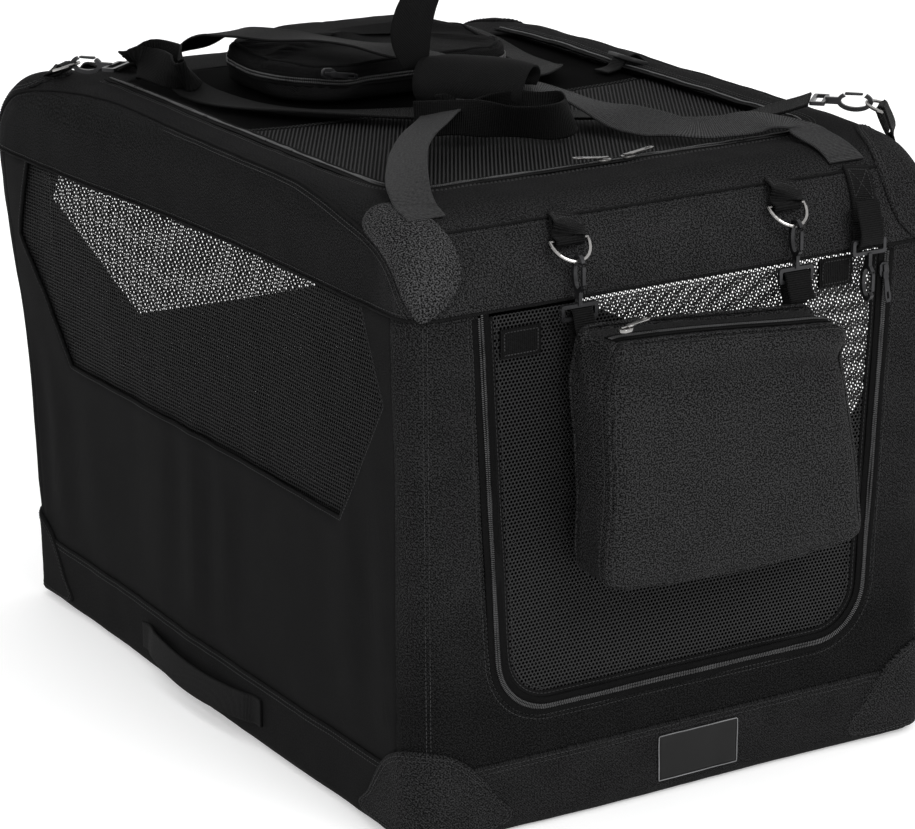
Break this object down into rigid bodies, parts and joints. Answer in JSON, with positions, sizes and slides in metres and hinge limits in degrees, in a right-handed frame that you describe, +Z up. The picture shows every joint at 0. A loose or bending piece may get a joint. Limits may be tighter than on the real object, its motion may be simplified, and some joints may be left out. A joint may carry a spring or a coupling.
{
  "type": "soft-sided pet carrier",
  "caption": "Folding soft-sided pet carrier with a tube frame, mesh door and windows, roof flap, hanging pouch, carry handles and shoulder strap.",
  "frame": {"origin": "on the floor, under the middle of the cloth shell: the centre of the base tray's underside", "axes": "+Z up, +Y along the carrier's length from the front door to the rear, +X to the right when looking in at the front door"},
  "size_m": [0.58, 0.8365, 0.6259],
  "materials": {
    "cloth": "black polyester twill, matte",
    "mesh_cloth": "black open warp-knit mesh",
    "webbing": "black ribbed webbing",
    "frame_black": "black powder coat, satin",
    "board_grey": "dark felt-covered board",
    "plastic": "black moulded plastic",
    "steel": "plain steel rivet",
    "nickel": "nickel plate",
    "hook_black": "black nickel, glossy"
  },
  "bodies": {
    "root": {"base_tray": "cloth", "floor_board": "board_grey", "wall_front": "cloth", "wall_rear": "cloth", "wall_left": "cloth", "wall_right": "cloth", "window_left": "mesh_cloth", "window_right": "mesh_cloth", "window_rear": "mesh_cloth", "base_rail_left": "frame_black", "base_rail_right": "frame_black", "side_grip_left": "webbing", "side_grip_right": "webbing"},
    "front_lower": {"front_lower_tube": "frame_black", "front_sleeve_left": "plastic", "front_sleeve_right": "plastic", "front_knee_pin_left": "steel", "front_knee_pin_right": "steel"},
    "front_upper": {"front_upper_tube": "frame_black"},
    "rear_lower": {"rear_lower_tube": "frame_black", "rear_sleeve_left": "plastic", "rear_sleeve_right": "plastic", "rear_knee_pin_left": "steel", "rear_knee_pin_right": "steel"},
    "rear_upper": {"rear_upper_tube": "frame_black"},
    "roof": {"roof_shell": "cloth", "top_rail_left": "frame_black", "top_rail_right": "frame_black", "pouch_tab_left": "webbing", "pouch_tab_right": "webbing", "pouch_ring_left": "nickel", "pouch_ring_right": "nickel", "lock_strap": "webbing", "strap_tab_rear": "webbing", "strap_tab_front": "webbing", "strap_ring_rear": "nickel", "strap_ring_front": "nickel", "shoulder_strap": "webbing", "strap_hook_rear": "hook_black", "strap_hook_front": "hook_black"},
    "strap_gate_rear": {"strap_gate_rear": "hook_black"},
    "strap_gate_front": {"strap_gate_front": "hook_black"},
    "pouch_hanger": {"pouch_hook_left": "hook_black", "pouch_hook_right": "hook_black"},
    "pouch_gate_left": {"pouch_gate_left": "hook_black"},
    "pouch_gate_right": {"pouch_gate_right": "hook_black"},
    "front_pouch": {"front_pouch": "cloth"},
    "pouch_slider": {"pouch_slider": "nickel"},
    "lock_hook": {"lock_hook": "hook_black"},
    "lock_gate": {"lock_gate": "hook_black"},
    "front_handle": {"front_handle": "webbing", "handle_grip": "cloth"},
    "rear_handle": {"rear_handle": "webbing"},
    "roof_door": {"roof_door": "mesh_cloth", "top_pouch": "cloth"},
    "top_pouch_slider": {"top_pouch_slider": "nickel"},
    "front_door": {"front_door": "mesh_cloth"},
    "door_slider": {"door_slider": "nickel"},
    "roof_slider_left": {"roof_slider_left": "nickel"},
    "roof_slider_right": {"roof_slider_right": "nickel"}
  },
  "joints": [
    {"name": "frame_fold", "type": "hinge", "parent": "root", "child": "front_lower", "pos_m": [0, -0.35, 0.025], "axis": [1, 0, 0], "range_deg": [-80, 0], "deforming": ["wall_front", "wall_rear", "wall_left", "wall_right", "window_left", "window_right", "window_rear", "front_door"]},
    {"name": "front_knee", "type": "hinge", "parent": "front_lower", "child": "front_upper", "pos_m": [0, -0.35, 0.2575], "axis": [1, 0, 0], "range_deg": [0, 160]},
    {"name": "roof_level", "type": "hinge", "parent": "front_upper", "child": "roof", "pos_m": [0, -0.35, 0.49], "axis": [1, 0, 0], "range_deg": [-80, 0]},
    {"name": "rear_fold", "type": "hinge", "parent": "root", "child": "rear_lower", "pos_m": [0, 0.35, 0.025], "axis": [1, 0, 0], "range_deg": [0, 80]},
    {"name": "rear_knee", "type": "hinge", "parent": "rear_lower", "child": "rear_upper", "pos_m": [0, 0.35, 0.2575], "axis": [1, 0, 0], "range_deg": [-160, 0]},
    {"name": "pouch_hanger_swing", "type": "hinge", "parent": "roof", "child": "pouch_hanger", "pos_m": [0, -0.392, 0.48925], "axis": [1, 0, 0], "range_deg": [-76, 0]},
    {"name": "pouch_swing", "type": "hinge", "parent": "pouch_hanger", "child": "front_pouch", "pos_m": [0, -0.392, 0.44255], "axis": [-1, 0, 0], "range_deg": [0, 70]},
    {"name": "pouch_gate_left_swing", "type": "hinge", "parent": "pouch_hanger", "child": "pouch_gate_left", "pos_m": [-0.116, -0.3986, 0.47095], "axis": [-1, 0, 0], "range_deg": [0, 25], "stiffness_Nm_per_rad": 0.01, "springref_deg": -17.19},
    {"name": "pouch_gate_right_swing", "type": "hinge", "parent": "pouch_hanger", "child": "pouch_gate_right", "pos_m": [0.1, -0.3986, 0.47095], "axis": [-1, 0, 0], "range_deg": [0, 25], "stiffness_Nm_per_rad": 0.01, "springref_deg": -17.19},
    {"name": "pouch_zip_slide", "type": "slide", "parent": "front_pouch", "child": "pouch_slider", "axis": [1, 0, 0], "range_m": [0, 0.17]},
    {"name": "lock_hook_swing", "type": "hinge", "parent": "roof", "child": "lock_hook", "pos_m": [0.176, -0.392, 0.466], "axis": [-1, 0, 0], "range_deg": [0, 60]},
    {"name": "lock_gate_swing", "type": "hinge", "parent": "lock_hook", "child": "lock_gate", "pos_m": [0.176, -0.3986, 0.4376], "axis": [1, 0, 0], "range_deg": [0, 25], "stiffness_Nm_per_rad": 0.01, "springref_deg": -17.19},
    {"name": "strap_gate_rear_swing", "type": "hinge", "parent": "roof", "child": "strap_gate_rear", "pos_m": [-0.2282, 0.2696, 0.5536], "axis": [-0.8, -0.6, 0], "range_deg": [0, 25], "stiffness_Nm_per_rad": 0.01, "springref_deg": -17.19},
    {"name": "strap_gate_front_swing", "type": "hinge", "parent": "roof", "child": "strap_gate_front", "pos_m": [0.23663, -0.27563, 0.5646], "axis": [0.7071, 0.7071, 0], "range_deg": [0, 25], "stiffness_Nm_per_rad": 0.01, "springref_deg": -17.19},
    {"name": "front_handle_swing", "type": "hinge", "parent": "roof", "child": "front_handle", "pos_m": [0, -0.335, 0.5362], "axis": [1, 0, 0], "range_deg": [0, 95]},
    {"name": "rear_handle_swing", "type": "hinge", "parent": "roof", "child": "rear_handle", "pos_m": [0, 0.335, 0.5362], "axis": [-1, 0, 0], "range_deg": [0, 95]},
    {"name": "roof_door_swing", "type": "hinge", "parent": "roof", "child": "roof_door", "pos_m": [0, 0.262, 0.5315], "axis": [1, 0, 0], "range_deg": [0, 55]},
    {"name": "top_pouch_zip_slide", "type": "slide", "parent": "roof_door", "child": "top_pouch_slider", "axis": [1, 0, 0], "range_m": [0, 0.165]},
    {"name": "front_door_swing", "type": "hinge", "parent": "root", "child": "front_door", "pos_m": [0, -0.3795, 0.4512], "axis": [1, 0, 0], "range_deg": [0, 75]},
    {"name": "door_zip_slide", "type": "slide", "parent": "roof", "child": "door_slider", "axis": [0, 0, -1], "range_m": [0, 0.24]},
    {"name": "roof_zip_left_slide", "type": "slide", "parent": "roof", "child": "roof_slider_left", "axis": [-1, 0, 0], "range_m": [0, 0.14]},
    {"name": "roof_zip_right_slide", "type": "slide", "parent": "roof", "child": "roof_slider_right", "axis": [1, 0, 0], "range_m": [0, 0.14]}
  ],
  "couplings": [
    {"joint": "front_knee", "follows": "frame_fold", "ratio": -2},
    {"joint": "roof_level", "follows": "frame_fold", "ratio": 1},
    {"joint": "rear_fold", "follows": "frame_fold", "ratio": -1},
    {"joint": "rear_knee", "follows": "frame_fold", "ratio": 2},
    {"joint": "pouch_hanger_swing", "follows": "frame_fold", "ratio": 0.95}
  ]
}
